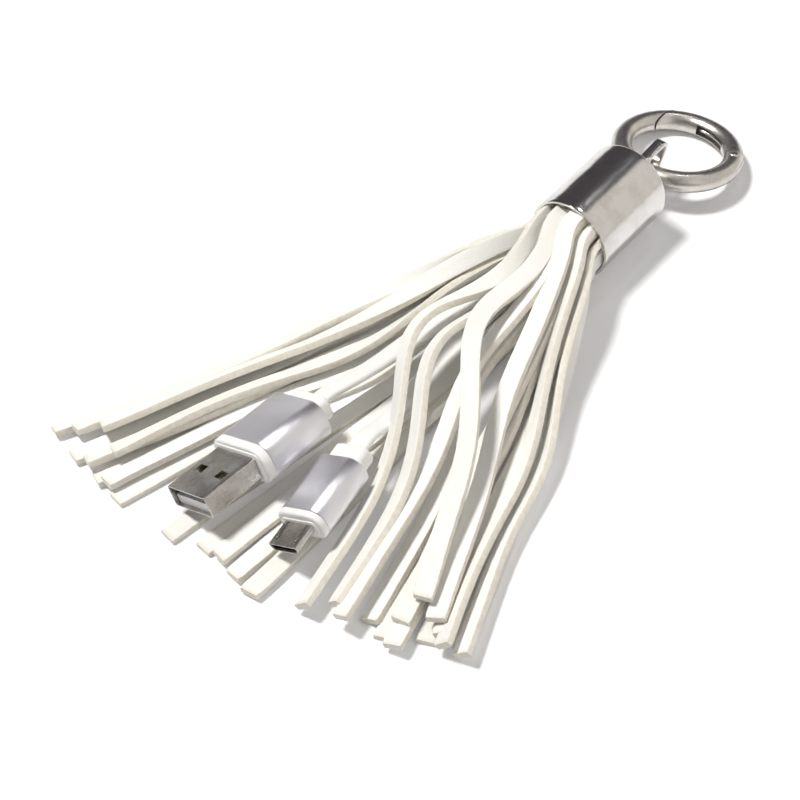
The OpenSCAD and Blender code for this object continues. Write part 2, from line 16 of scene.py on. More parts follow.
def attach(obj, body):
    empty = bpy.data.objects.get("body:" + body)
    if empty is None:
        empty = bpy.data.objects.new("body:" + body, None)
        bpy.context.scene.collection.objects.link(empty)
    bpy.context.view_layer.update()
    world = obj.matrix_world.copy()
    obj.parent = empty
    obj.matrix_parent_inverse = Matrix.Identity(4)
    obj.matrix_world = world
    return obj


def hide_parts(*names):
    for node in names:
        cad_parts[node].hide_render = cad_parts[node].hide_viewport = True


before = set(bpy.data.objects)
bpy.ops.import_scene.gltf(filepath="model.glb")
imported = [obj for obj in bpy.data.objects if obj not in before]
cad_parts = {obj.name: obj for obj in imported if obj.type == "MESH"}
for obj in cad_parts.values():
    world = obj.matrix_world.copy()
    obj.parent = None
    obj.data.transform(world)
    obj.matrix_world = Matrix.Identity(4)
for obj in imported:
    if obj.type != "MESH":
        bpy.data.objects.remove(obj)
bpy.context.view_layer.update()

# %% [markdown]
# The CAD source is written in millimetres about the middle of the cap's mouth, with the table
# at height zero. The same numbers are used here, and one helper moves them to the shared frame.

# %% Millimetres about the cap's mouth
MM = 0.001
SHIFT = Vector((5, 23.2, 0))
CAP_Z = 9.0


def place(points):
    """Points in millimetres about the cap's mouth, as metres in the shared frame."""
    return [(Vector(p) + SHIFT) * MM for p in points]


print("middle of the cap's mouth", place([(0, 0, CAP_Z)])[0])

# %% [markdown]
# The camera stands where the photographer stood: high over the tips of the tassel and to the
# right of it, looking down by about 51 degrees with a long lens, so that the picture has little
# perspective.

# %% Camera
CAMERA_AT = Vector((0.14465, -0.20166, 0.28253))
LOOK = Vector((-0.3972, 0.4882, -0.7771)).normalized()
RIGHT = Vector((0.7757, 0.6311, 0)).normalized()
UP = RIGHT.cross(LOOK)

camera = bpy.data.objects.new("Camera", bpy.data.cameras.new("Camera"))
camera.data.lens = 85.5
camera.data.sensor_width = 36
camera.data.clip_start = 0.01
AXES = Matrix((RIGHT, UP, -LOOK)).transposed().to_4x4()
camera.matrix_world = Matrix.Translation(CAMERA_AT) @ AXES
bpy.context.scene.collection.objects.link(camera)
bpy.context.scene.camera = camera
print("camera at", CAMERA_AT)

# %% [markdown]
# Most pieces are made by lofting: rings of points are joined into a skin. One helper builds the
# faces, another makes the object, shades it smoothly except at sharp edges, ties it to its
# body and hides the CAD solid that it stands for.

# %% Helpers for meshes


def loft(rings, closed=False, caps=True):
    """Vertices and faces of a skin over rings that all have the same number of points."""
    n = len(rings[0])
    count = len(rings)
    faces = []
    for j in range(count if closed else count - 1):
        k = (j + 1) % count
        for i in range(n):
            m = (i + 1) % n
            faces.append((j * n + i, j * n + m, k * n + m, k * n + i))
    if caps and not closed:
        faces.append(tuple(range(n))[::-1])
        faces.append(tuple((count - 1) * n + i for i in range(n)))
    return [tuple(p) for ring in rings for p in ring], faces


def shade(mesh, angle=38):
    """Smooth shading with sharp edges where faces meet at more than the angle."""
    fix = bmesh.new()
    fix.from_mesh(mesh)
    bmesh.ops.recalc_face_normals(fix, faces=fix.faces)
    fix.to_mesh(mesh)
    fix.free()
    mesh.polygons.foreach_set("use_smooth", [True] * len(mesh.polygons))
    mesh.set_sharp_from_angle(angle=math.radians(angle))


def piece(name, skin, body, material, stands_for, angle=38):
    """A finished object from vertices and faces, riding on its body."""
    mesh = bpy.data.meshes.new(name)
    mesh.from_pydata(skin[0], [], skin[1])
    shade(mesh, angle)
    mesh.materials.append(material)
    made = bpy.data.objects.new(name, mesh)
    bpy.context.scene.collection.objects.link(made)
    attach(made, body)
    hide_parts(stands_for)
    print(f"{name}: {len(mesh.polygons)} faces")
    return made


# %% [markdown]
# Every finish is a small node tree: a principled shader whose colour, roughness and bump vary
# with noise. A value that is the same all over is set on the shader itself.

# %% Helpers for finishes


class Finish:
    """A material under construction, with short calls for the nodes that it needs."""

    def __init__(self, name, **constants):
        self.material = bpy.data.materials.new(name)
        self.material.use_nodes = True
        self.tree = self.material.node_tree
        self.shader = self.tree.nodes["Principled BSDF"]
        for key, value in constants.items():
            self.shader.inputs[key.replace("_", " ")].default_value = value

    def node(self, kind, **inputs):
        made = self.tree.nodes.new(kind)
        for key, value in inputs.items():
            self.feed(made.inputs[key.replace("_", " ")], value)
        return made

    def feed(self, socket, value):
        if isinstance(value, bpy.types.NodeSocket):
            self.tree.links.new(value, socket)
        else:
            socket.default_value = value

    def place(self, stretch=(1, 1, 1), attribute=None):
        """Coordinates that stay with the piece, or those of a mesh attribute, stretched."""
        if attribute:
            source = self.tree.nodes.new("ShaderNodeAttribute")
            source.attribute_name = attribute
            out = source.outputs["Vector"]
        else:
            out = self.tree.nodes.new("ShaderNodeTexCoord").outputs["Object"]
        return self.node("ShaderNodeMapping", Vector=out, Scale=stretch).outputs["Vector"]

    def noise(self, scale, where, detail=4.0, rough=0.5):
        return self.node("ShaderNodeTexNoise", Vector=where, Scale=scale, Detail=detail,
                         Roughness=rough).outputs["Fac"]

    def ramp(self, value, low, high, out_low=0.0, out_high=1.0):
        return self.node("ShaderNodeMapRange", Value=value, From_Min=low, From_Max=high,
                         To_Min=out_low, To_Max=out_high).outputs["Result"]

    def mix(self, amount, first, second):
        blend = self.tree.nodes.new("ShaderNodeMix")
        blend.data_type = "RGBA"
        self.feed(blend.inputs["Factor"], amount)
        self.feed(blend.inputs[6], first)
        self.feed(blend.inputs[7], second)
        return blend.outputs[2]

    def bump(self, height, distance, strength=1.0, after=None):
        made = self.node("ShaderNodeBump", Height=height, Distance=distance, Strength=strength)
        if after:
            self.feed(made.inputs["Normal"], after)
        return made.outputs["Normal"]

    def attribute(self, name):
        source = self.tree.nodes.new("ShaderNodeAttribute")
        source.attribute_name = name
        return source.outputs["Fac"]

    def set(self, **sockets):
        for key, value in sockets.items():
            self.feed(self.shader.inputs[key.replace("_", " ")], value)
        return self.material


def rgb(r, g, b):
    return (r, g, b, 1.0)


def fade(tree, value, start, end, low=0.0, high=1.0):
    """Node output that goes softly from low to high while a value goes from start to end."""
    made = tree.nodes.new("ShaderNodeMapRange")
    made.interpolation_type = "SMOOTHSTEP"
    for name, level in (("From Min", start), ("From Max", end), ("To Min", low), ("To Max", high)):
        made.inputs[name].default_value = level
    tree.links.new(value, made.inputs["Value"])
    return made.outputs["Result"]


print("finish helpers ready")

# %% [markdown]
# The cable's jacket is a soft white plastic with a satin skin: it is nearly white, a little
# uneven in gloss, with a very fine pebbled bump from the extruder.

# %% Finish: cable jacket
jacket = Finish("cable_jacket", Specular_IOR_Level=0.4)
soft = jacket.noise(420, jacket.place((1, 0.35, 1)))
fine = jacket.noise(5200, jacket.place(), detail=2.0)
CABLE_WHITE = jacket.set(
    Base_Color=jacket.mix(soft, rgb(0.82, 0.815, 0.795), rgb(0.88, 0.875, 0.86)),
    Roughness=jacket.ramp(soft, 0.3, 0.7, 0.38, 0.5),
    Normal=jacket.bump(fine, 0.00002, 0.5),
)
print("made", CABLE_WHITE.name)

# %% [markdown]
# The cable is one flat lead folded inside the cap. Its two legs leave the mouth one above the
# other and run side by side under the upper strips, each into its plug. A leg is swept along a
# smooth curve through the points of the CAD route, and it turns about its own length from level
# to the roll of its plug.

# %% Cable routes and plug poses
USB_MOUTH = Vector((-15.4, -93.8, 7.2))
USB_TURN = (-0.7, -28.7, -3.9)
USB_END = 32.0
MICRO_MOUTH = Vector((3.9, -90.3, 6.1))
MICRO_TURN = (4.9, -27.7, 5.6)
MICRO_END = 24.0
CABLE_W = 4.6
CABLE_T = 1.7
FOLD_Y = 14.0
LEG_RISE = (CABLE_T + 0.1) / 2
ROUTE_USB = [(0, 5, 0.9), (0, -4, 0.9), (-3, -12, 0.7), (-6, -24, -0.4), (-8, -36, -1.4),
             (-10, -48, -1.8), (-12, -56, -2)]
ROUTE_MICRO = [(0, 5, -0.9), (0, -4, -0.9), (-1, -12, -1.2), (-2, -24, -2), (-2, -36, -2.9),
               (-1, -48, -2.9), (0, -57, -2.1)]


def turning(turn):
    """The rotation that turns about x, then y, then z."""
    x, y, z = (math.radians(a) for a in turn)
    return Matrix.Rotation(z, 3, "Z") @ Matrix.Rotation(y, 3, "Y") @ Matrix.Rotation(x, 3, "X")


def smooth(t):
    k = min(max(t, 0.0), 1.0)
    return k * k * (3 - 2 * k)


def heading(line, i):
    """Direction of a line of points at one of them."""
    return (line[min(i + 1, len(line) - 1)] - line[max(i - 1, 0)]).normalized()


def catmull(points, i, t):
    a, b = points[max(i - 1, 0)], points[i]
    c, d = points[i + 1], points[min(i + 2, len(points) - 1)]
    return 0.5 * (2 * b + (c - a) * t + (2 * a - 5 * b + 4 * c - d) * t * t
                  + (3 * b - a - 3 * c + d) * t * t * t)


print("USB plug turns by", USB_TURN, "and micro plug by", MICRO_TURN)

# %% Cable legs
LEG_STEPS = 8
TURN_FROM, TURN_SPARE = 20, 6


def cable_leg(rise, route, mouth, turn, end):
    """Centre line and rings of one leg, from the fold in the cap into its plug."""
    above = 1 if rise > 0 else -1
    bends = [math.radians(a) for a in range(0, 91, 9)]
    fold = [Vector((0, FOLD_Y + LEG_RISE * math.cos(a), CAP_Z + above * LEG_RISE * math.sin(a)))
            for a in bends]
    turned = turning(turn)
    into = mouth + turned @ Vector((0, end, 0))
    before = mouth + turned @ Vector((0, end + 4, 0))
    points = [Vector(p) + Vector((0, 0, CAP_Z)) for p in route] + [before, into]
    fine = [catmull(points, i, k / LEG_STEPS)
            for i in range(len(points) - 1) for k in range(LEG_STEPS)]
    line = fold + fine + [into]
    aim = turned @ Vector((0, -1, 0))
    level = (Vector((1, 0, 0)) - aim.x * aim).normalized()
    end_roll = math.acos((turned @ Vector((1, 0, 0))).dot(level))
    half = CABLE_T / 2
    section = []
    for k in (0, 1):
        for i in range(9):
            a = math.radians(-90 + 180 * k + 22.5 * i)
            middle = (1 - 2 * k) * (CABLE_W / 2 - half)
            section.append((middle + half * math.cos(a), half * math.sin(a)))
    rings = []
    for i, p in enumerate(line):
        t = heading(line, i)
        flat = (Vector((1, 0, 0)) - t.x * t).normalized()
        rise_dir = flat.cross(t) * -1
        roll = end_roll * smooth((-p.y - TURN_FROM) / (-into.y - TURN_FROM - TURN_SPARE))
        side = flat * math.cos(roll) + rise_dir * math.sin(roll)
        up = rise_dir * math.cos(roll) - flat * math.sin(roll)
        rings.append(place([p + side * u + up * v for u, v in section]))
    return line, rings


def lead(name, stands_for, rise, route, mouth, turn, end):
    """One leg of the cable as a piece, with the line that it follows."""
    line, rings = cable_leg(rise, route, mouth, turn, end)
    made = piece(name, loft(rings), "tassel", CABLE_WHITE, stands_for)
    made["run"] = sum((b - a).length for a, b in zip(line, line[1:]))
    print(f"{name}: {made['run']:.1f} mm from the fold to its plug")
    return made, line


LEAD_USB, LINE_USB = lead("lead_usb_a", "cable_usb_a", 1, ROUTE_USB, USB_MOUTH, USB_TURN, USB_END)
LEAD_MICRO, LINE_MICRO = lead("lead_micro", "cable_micro", -1, ROUTE_MICRO, MICRO_MOUTH,
                              MICRO_TURN, MICRO_END)

# %% [markdown]
# Both plugs are built the same way: a pressed steel shell, a white moulding that shows as a
# collar in front and a strain relief behind, and an aluminium sleeve between them. Each is a
# loft along the plug's own length, so that every edge can be given its small radius, and is
# drawn with the middle of its mouth at the origin and then turned into place.

# %% Helpers for the plugs


def rounded(w, h, r, steps=6):
    """A rectangle with rounded corners, as points (x, z)."""
    points = []
    for k, (sx, sz) in enumerate(((1, 1), (-1, 1), (-1, -1), (1, -1))):
        for i in range(steps + 1):
            a = math.radians(90 * k + 90 * i / steps)
            points.append((sx * (w / 2 - r) + r * math.cos(a), sz * (h / 2 - r) + r * math.sin(a)))
    return points


def bevelled(w, h, low, r, steps=3):
    """A rectangle with its two lower corners cut off, and every corner eased a little."""
    corners = [(w / 2, h / 2), (-w / 2, h / 2), (-w / 2, -h / 2 + low), (-w / 2 + low, -h / 2),
               (w / 2 - low, -h / 2), (w / 2, -h / 2 + low)]
    points = []
    for i, here in enumerate(corners):
        p = Vector(here)
        back = (Vector(corners[i - 1]) - p).normalized()
        ahead = (Vector(corners[(i + 1) % 6]) - p).normalized()
        for k in range(steps + 1):
            t = k / steps
            q = p + back * r * (1 - t) ** 2 + ahead * r * t ** 2
            points.append((q.x, q.y))
    return points


def ring_at(outline, y):
    return [(x, y, z) for x, z in outline]


def posed(points, mouth, turn):
    """Points in a plug's own frame, in millimetres, as metres in the shared frame."""
    turned = turning(turn)
    return place([mouth + turned @ Vector(p) for p in points])


def plug_piece(name, skin, pose, material, stands_for, angle=38):
    placed = (posed(skin[0], *pose), skin[1])
    return piece(name, placed, "tassel", material, stands_for, angle)


def merge(*skins):
    """Several skins as one."""
    points, faces = [], []
    for p, f in skins:
        base = len(points)
        points += p
        faces += [tuple(i + base for i in face) for face in f]
    return points, faces


def block(x0, x1, y0, y1, z0, z1, r=0.0):
    """A small block along y with eased long edges."""
    w, h = x1 - x0, z1 - z0
    outline = [((x0 + x1) / 2 + x, (z0 + z1) / 2 + z) for x, z in rounded(w, h, max(r, 0.001), 2)]
    return loft([ring_at(outline, y0), ring_at(outline, y1)])


def eased(shape, y0, y1, r0, r1, steps=4):
    """A bar along y whose outline shape(inset) has rounded ends of radius r0 and r1."""
    rings = []
    for i in range(steps + 1):
        a = math.radians(90 * i / steps)
        rings.append(ring_at(shape(r0 * (1 - math.sin(a))), y0 + r0 * (1 - math.cos(a))))
    for i in range(steps + 1):
        a = math.radians(90 * i / steps)
        rings.append(ring_at(shape(r1 * (1 - math.cos(a))), y1 - r1 * (1 - math.sin(a))))
    return loft(rings)


def tube(outer, inner, y0, y1, lip):
    """A thin-walled bar along y with eased front and back edges."""
    rings = []
    for shape, a, b in ((outer, y0, y1), (inner, y1, y0)):
        s = 1 if b > a else -1
        rings += [ring_at(shape(lip), a), ring_at(shape(0), a + s * lip),
                  ring_at(shape(0), b - s * lip), ring_at(shape(lip), b)]
    return loft(rings, closed=True)


def carve(target, *tools):
    """Cuts closed skins out of a piece and keeps the result as plain mesh."""
    made = []
    for skin in tools:
        mesh = bpy.data.meshes.new("tool")
        mesh.from_pydata(skin[0], [], skin[1])
        shade(mesh)
        tool = bpy.data.objects.new("tool", mesh)
        bpy.context.scene.collection.objects.link(tool)
        cut = target.modifiers.new("cut", "BOOLEAN")
        cut.operation = "DIFFERENCE"
        cut.solver = "EXACT"
        cut.object = tool
        made.append(tool)
    bpy.context.view_layer.update()
    cut_target = target.evaluated_get(bpy.context.evaluated_depsgraph_get())
    result = bpy.data.meshes.new_from_object(cut_target)
    target.modifiers.clear()
    old = target.data
    name = old.name
    target.data = result
    bpy.data.meshes.remove(old)
    result.name = name
    for tool in made:
        bpy.data.meshes.remove(tool.data)
    shade(result, 35)
    print(f"{target.name}: {len(result.polygons)} faces after its cuts")
    return target


print("plug helpers ready")

# %% [markdown]
# The plug finishes: the shells are pressed steel with a brushed, nickel-grey skin that shows
# grey-brown in the light; the sleeves are fine-blasted aluminium with a lavender cast; and the
# mouldings are glossy white plastic.

# %% Finishes: shells, sleeves and mouldings
steel = Finish("brushed_shell", Metallic=1.0)
drawn = steel.noise(900, steel.place((6, 0.35, 6)), detail=6.0, rough=0.65)
mottle = steel.noise(320, steel.place(), detail=5.0, rough=0.6)
SHELL_STEEL = steel.set(
    Base_Color=steel.mix(steel.ramp(mottle, 0.3, 0.7),
                         rgb(0.40, 0.375, 0.35), rgb(0.62, 0.60, 0.57)),
    Roughness=steel.ramp(drawn, 0.25, 0.75, 0.2, 0.42),
    Normal=steel.bump(drawn, 0.00001, 0.6),
)

blasted = Finish("blasted_sleeve", Metallic=1.0)
grit = blasted.noise(3800, blasted.place(), detail=3.0)
cloud = blasted.noise(160, blasted.place(), detail=3.0)
SLEEVE_ALU = blasted.set(
    Base_Color=blasted.mix(cloud, rgb(0.76, 0.755, 0.80), rgb(0.85, 0.845, 0.88)),
    Roughness=blasted.ramp(grit, 0.3, 0.7, 0.36, 0.5),
    Normal=blasted.bump(grit, 0.00004, 0.8),
)

shiny = Finish("white_moulding", Specular_IOR_Level=0.5, Coat_Weight=0.15, Coat_Roughness=0.2)
flow = shiny.noise(300, shiny.place(), detail=3.0)
MOULDING = shiny.set(
    Base_Color=shiny.mix(flow, rgb(0.84, 0.835, 0.82), rgb(0.88, 0.875, 0.865)),
    Roughness=shiny.ramp(flow, 0.3, 0.7, 0.28, 0.38),
    Normal=shiny.bump(flow, 0.00003, 0.3),
)
print("made", SHELL_STEEL.name, SLEEVE_ALU.name, MOULDING.name)

# %% [markdown]
# Inside the mouths there is plain moulded plastic, white in the larger plug and black in the
# small one, and gold-plated contacts. The small plug's two latches are spring steel.

# %% Finishes: insulators, contacts and spring steel


def plain_plastic(name, dark, light, low, high):
    """Moulded plastic with faint flow clouds and a fine matte bump."""
    made = Finish(name, Specular_IOR_Level=0.4)
    clouds = made.noise(700, made.place(), detail=3.0)
    pebble = made.noise(6000, made.place(), detail=2.0)
    return made.set(Base_Color=made.mix(clouds, dark, light),
                    Roughness=made.ramp(clouds, 0.3, 0.7, low, high),
                    Normal=made.bump(pebble, 0.00001, 0.4))


WHITE_PLASTIC = plain_plastic("white_insulator",
                              rgb(0.78, 0.79, 0.77), rgb(0.84, 0.85, 0.83), 0.4, 0.55)
BLACK_PLASTIC = plain_plastic("black_insulator",
                              rgb(0.016, 0.016, 0.018), rgb(0.03, 0.03, 0.032), 0.35, 0.5)


def worn_metal(name, dark, light, low, high, scale=1400, bump=0.000006):
    """Plated metal whose colour and gloss vary in small clouds, with fine marks."""
    made = Finish(name, Metallic=1.0)
    clouds = made.noise(scale / 4, made.place(), detail=5.0, rough=0.6)
    marks = made.noise(scale, made.place((1, 3, 1)), detail=6.0, rough=0.7)
    return made.set(Base_Color=made.mix(made.ramp(clouds, 0.3, 0.7), dark, light),
                    Roughness=made.ramp(marks, 0.3, 0.75, low, high),
                    Normal=made.bump(marks, bump, 0.5))


CONTACT_GOLD = worn_metal("contact_gold", rgb(0.72, 0.53, 0.22), rgb(0.86, 0.68, 0.33), 0.18, 0.3)
SPRING_STEEL = worn_metal("spring_steel", rgb(0.50, 0.49, 0.47), rgb(0.64, 0.63, 0.61), 0.15, 0.28)
print("made", WHITE_PLASTIC.name, BLACK_PLASTIC.name, CONTACT_GOLD.name, SPRING_STEEL.name)

# %% USB A plug: shell and what is in its mouth
USB_POSE = (USB_MOUTH, USB_TURN)
USB_W, USB_H, USB_L, USB_WALL, USB_IN = 12.0, 4.5, 12.6, 0.3, 6.0
USB_EDGE = 0.6
USB_BORE_W, USB_BORE_H = USB_W - 2 * USB_WALL, USB_H - 2 * USB_WALL
HOLE_X, HOLE_HALF, HOLE_Y, HOLE_L = 3.2, 1.2, 5.4, 2

usb_shell = plug_piece(
    "shell_usb_a",
    tube(lambda i: rounded(USB_W - 2 * i, USB_H - 2 * i, USB_EDGE),
         lambda i: rounded(USB_BORE_W + 2 * i, USB_BORE_H + 2 * i, USB_EDGE - USB_WALL + i),
         0, USB_L + USB_IN, 0.07),
    USB_POSE, SHELL_STEEL, "usb_a_shell")
holes = [loft([[(side * HOLE_X + dx * HOLE_HALF, HOLE_Y + dy, z)
                for dx, dy in ((-1, 0), (1, 0), (1, HOLE_L), (-1, HOLE_L))]
               for z in (-USB_H, USB_H)]) for side in (-1, 1)]
carve(usb_shell, *[(posed(p, *USB_POSE), f) for p, f in holes])

usb_tongue = plug_piece(
    "insulator_usb_a",
    merge(block(-5.4, 5.4, 0.8, 10, -1.95, -0.05, 0.12),
          eased(lambda i: rounded(USB_BORE_W - 2 * i - 0.02, USB_BORE_H - 2 * i - 0.02, 0.3),
                9.8, USB_L + USB_IN, 0.1, 0.1)),
    USB_POSE, WHITE_PLASTIC, "usb_a_insulator")
usb_contacts = plug_piece(
    "contacts_usb_a",
    merge(*[block(x - 0.5, x + 0.5, y, 9.8, -0.05, 0.1, 0.05)
            for x, y in ((-3.5, 1.6), (-1, 2.6), (1, 2.6), (3.5, 1.6))]),
    USB_POSE, CONTACT_GOLD, "usb_a_contacts")

# %% USB A plug: moulding and sleeve
USB_SLEEVE = (15.8, 7.8, 3.2)
USB_SLEEVE_FROM, USB_SLEEVE_TO = 14.5, 28.4
USB_BOOT = (9.6, 5.0, 1.5)
SLEEVE_WALL = 0.48


def body_shape(size, inset=0.0):
    """Outline of a plug's body, pulled in by an inset."""
    w, h, r = size
    return lambda i: rounded(w - 2 * (i + inset), h - 2 * (i + inset), max(r - i - inset, 0.2), 10)


def moulding(size, boot, collar_from, sleeve_from, sleeve_to, end, shell):
    """Collar with a seat round the shell, core inside the sleeve, and a tapered strain relief."""
    w, h, r = boot
    collar = eased(body_shape(size, 0.05), collar_from, sleeve_from - 0.05, 0.45, 0.12)
    core = loft([ring_at(body_shape(size, 0.55)(0), y)
                 for y in (sleeve_from - 0.3, sleeve_to - 0.1)])
    relief = eased(lambda i: rounded(w - 2 * i, h - 2 * i, r, 8), sleeve_to - 0.3, end, 0.05, 0.7)
    seat = eased(lambda i: rounded(shell[0] + 1.5 - 2 * i, shell[1] + 1.5 - 2 * i, 0.9, 8),
                 collar_from - 0.25, collar_from + 1, 0.2, 0.05)
    return merge(collar, core, relief, seat)


def sleeve(size, y0, y1):
    """Blasted tube with a bright turned edge at each end."""
    return tube(body_shape(size), body_shape(size, SLEEVE_WALL), y0, y1, 0.16)


usb_mould = plug_piece("moulding_usb_a",
                       moulding(USB_SLEEVE, USB_BOOT, USB_L, USB_SLEEVE_FROM, USB_SLEEVE_TO,
                                USB_END, (USB_W, USB_H)),
                       USB_POSE, MOULDING, "usb_a_mould")
usb_sleeve = plug_piece("sleeve_usb_a", sleeve(USB_SLEEVE, USB_SLEEVE_FROM, USB_SLEEVE_TO),
                        USB_POSE, SLEEVE_ALU, "usb_a_sleeve", angle=50)

# %% Micro plug
MICRO_POSE = (MICRO_MOUTH, MICRO_TURN)
MICRO_W, MICRO_H, MICRO_L, MICRO_WALL, MICRO_IN = 6.85, 1.8, 5.64, 0.25, 4.0
MICRO_LOW = 0.75
MICRO_SLEEVE = (10.8, 6.2, 2.7)
MICRO_SLEEVE_FROM, MICRO_SLEEVE_TO = 7.0, 20.0
MICRO_BOOT = (8.0, 4.2, 1.5)
LATCH_X, PIN_PITCH = 2.35, 0.65


def micro_shape(wall):
    """Outline of the small shell, this far in from its outer face."""
    low = MICRO_LOW - (2 - math.sqrt(2)) * wall
    w, h = MICRO_W - 2 * wall, MICRO_H - 2 * wall
    return lambda i: bevelled(w - 2 * i, h - 2 * i, low - 0.59 * i, 0.18)


micro_shell = plug_piece("shell_micro",
                         tube(micro_shape(0), lambda i: micro_shape(MICRO_WALL - i)(0),
                              0, MICRO_L + MICRO_IN, 0.06),
                         MICRO_POSE, SHELL_STEEL, "micro_shell")
slots = [loft([[(side * LATCH_X + dx, y, z)
                for dx, y in ((-0.32, 1.2), (0.32, 1.2), (0.32, 5.3), (-0.32, 5.3))]
               for z in (0, MICRO_H)]) for side in (-1, 1)]
carve(micro_shell, *[(posed(p, *MICRO_POSE), f) for p, f in slots])

micro_core = plug_piece("insulator_micro",
                        loft([ring_at(micro_shape(MICRO_WALL + 0.01)(0), y)
                              for y in (0.25, MICRO_L + MICRO_IN)]),
                        MICRO_POSE, BLACK_PLASTIC, "micro_insulator")
throat = block(-2.6, 2.6, -1, 5, -0.36, 0.36, 0.1)
carve(micro_core, (posed(throat[0], *MICRO_POSE), throat[1]))
micro_pins = plug_piece("contacts_micro",
                        merge(*[block(PIN_PITCH * i - 0.2, PIN_PITCH * i + 0.2,
                                      0.6, 5, -0.36, -0.24, 0.03) for i in range(-2, 3)]),
                        MICRO_POSE, CONTACT_GOLD, "micro_contacts")


def latch(x):
    """A sprung tongue in its slot, with the hook that stands out of it."""
    tongue = block(x - 0.22, x + 0.22, 1.3, 5.2, 0.45, 0.78, 0.06)
    hook = loft([[(x + dx, y, z)
                  for dx, z in ((-0.2, 0.6), (0.2, 0.6), (0.2, top), (-0.2, top))]
                 for y, top in ((1.42, 0.8), (1.6, 1.12), (1.85, 1.15), (2.4, 0.82))])
    return merge(tongue, hook)


micro_latches = plug_piece("latches_micro", merge(latch(-LATCH_X), latch(LATCH_X)), MICRO_POSE,
                           SPRING_STEEL, "micro_latches")
micro_mould = plug_piece("moulding_micro",
                         moulding(MICRO_SLEEVE, MICRO_BOOT, MICRO_L, MICRO_SLEEVE_FROM,
                                  MICRO_SLEEVE_TO, MICRO_END, (MICRO_W, MICRO_H)),
                         MICRO_POSE, MOULDING, "micro_mould")
micro_sleeve = plug_piece("sleeve_micro", sleeve(MICRO_SLEEVE, MICRO_SLEEVE_FROM, MICRO_SLEEVE_TO),
                          MICRO_POSE, SLEEVE_ALU, "micro_sleeve", angle=50)

# %% [markdown]
# Each leg leaves the cap at the middle of the mouth, carries the length of its whole line, and
# ends in its plug. The pieces of each plug are counted here.

for leg, line, parts in (
        (LEAD_USB, LINE_USB, [usb_shell, usb_tongue, usb_contacts, usb_mould, usb_sleeve]),
        (LEAD_MICRO, LINE_MICRO,
         [micro_shell, micro_core, micro_pins, micro_latches, micro_mould, micro_sleeve])):
    print(f"{leg.name} declared with {len(parts)} pieces")

# %% [markdown]
# The leather is off-white, smooth on its face, with a fine grain and faint stretch marks along
# each strip. Its cut edges are a little creamier and fibrous, and its back is softer. Three
# attributes on the mesh steer the finish: where the surface is a cut edge, how each strip
# differs from the next, and how far along the strip a point is.

# %% Finish: leather
leather = Finish("white_leather", Specular_IOR_Level=0.3, Sheen_Weight=0.12, Sheen_Roughness=0.4)
course = "course"
grain = leather.noise(2100, leather.place(), detail=6.0, rough=0.7)
pores = leather.node("ShaderNodeTexVoronoi", Vector=leather.place(), Scale=1500).outputs["Distance"]
stretch_marks = leather.noise(1.0, leather.place((0.12, 1.6, 1), course), detail=5.0, rough=0.6)
fibres = leather.noise(1.0, leather.place((0.9, 6.0, 1), course), detail=6.0, rough=0.7)
patches = leather.noise(110, leather.place(), detail=3.0)
cut = leather.attribute("cut_edge")
own = leather.attribute("own_tone")
face = leather.mix(leather.ramp(stretch_marks, 0.3, 0.7),
                   rgb(0.895, 0.885, 0.845), rgb(0.925, 0.92, 0.895))
face = leather.mix(leather.ramp(own, 0, 1, 0, 0.5), face, rgb(0.90, 0.88, 0.82))
face = leather.mix(leather.ramp(patches, 0.55, 0.8, 0, 0.35), face, rgb(0.87, 0.845, 0.775))
edge = leather.mix(leather.ramp(fibres, 0.3, 0.7), rgb(0.74, 0.695, 0.60), rgb(0.88, 0.85, 0.77))
relief = leather.bump(grain, 0.00018, 0.7)
relief = leather.bump(pores, 0.00002, 0.35, after=relief)
relief = leather.bump(stretch_marks, 0.00014, 0.5, after=relief)
relief = leather.bump(fibres, 0.00016, 0.5, after=relief)
LEATHER = leather.set(
    Base_Color=leather.mix(cut, face, edge),
    Roughness=leather.ramp(grain, 0.3, 0.7, 0.5, 0.68),
    Normal=relief,
)
print("made", LEATHER.name)

# %% [markdown]
# The uncut band of the leather is rolled up inside the cap as a spiral that starts at the top.
# Each slot on the roll is the root of one strip, so a strip leaves the mouth turned as the roll
# is there, and then turns level as it comes down to the table.

# %% Roll and roots
CAP_D, CAP_L, CAP_WALL, CAP_EDGE = 18.0, 21.4, 0.6, 0.9
STRIP_W, STRIP_T = 3.6, 1.2
FRINGE_L, SLUMP_L, ROOT_IN = 99.0, 55.0, 1.5
LEAN_FROM, LEAN_OVER = 5.0, 30.0
ROLL_START, ROLL_PITCH = 80.0, STRIP_T + 0.1
ROLL_R = math.sqrt((CAP_D / 2 - CAP_WALL) ** 2 - (STRIP_W / 2) ** 2) - STRIP_T / 2 - 0.01
LAYER = STRIP_T + 0.25
BED = 0.05
BAND_FROM, BAND_TO, BAND_TAIL, BAND_STEPS = 0.8, 16.8, 14, 180


def roll_at(a):
    return ROLL_R - ROLL_PITCH * a / 360


def slot_turn(i):
    """Angle turned round the roll at a slot, in degrees."""
    a = 0.0
    for _ in range(i):
        a += math.degrees((STRIP_W + 0.1) / roll_at(a))
    return a


def root(slot):
    """Mouth end of a strip: x, height and roll."""
    a = slot_turn(slot)
    r = roll_at(a)
    p = (ROLL_START - a) % 360
    return (r * math.cos(math.radians(p)), CAP_Z + r * math.sin(math.radians(p)),
            p - 90 if p <= 180 else p - 270)


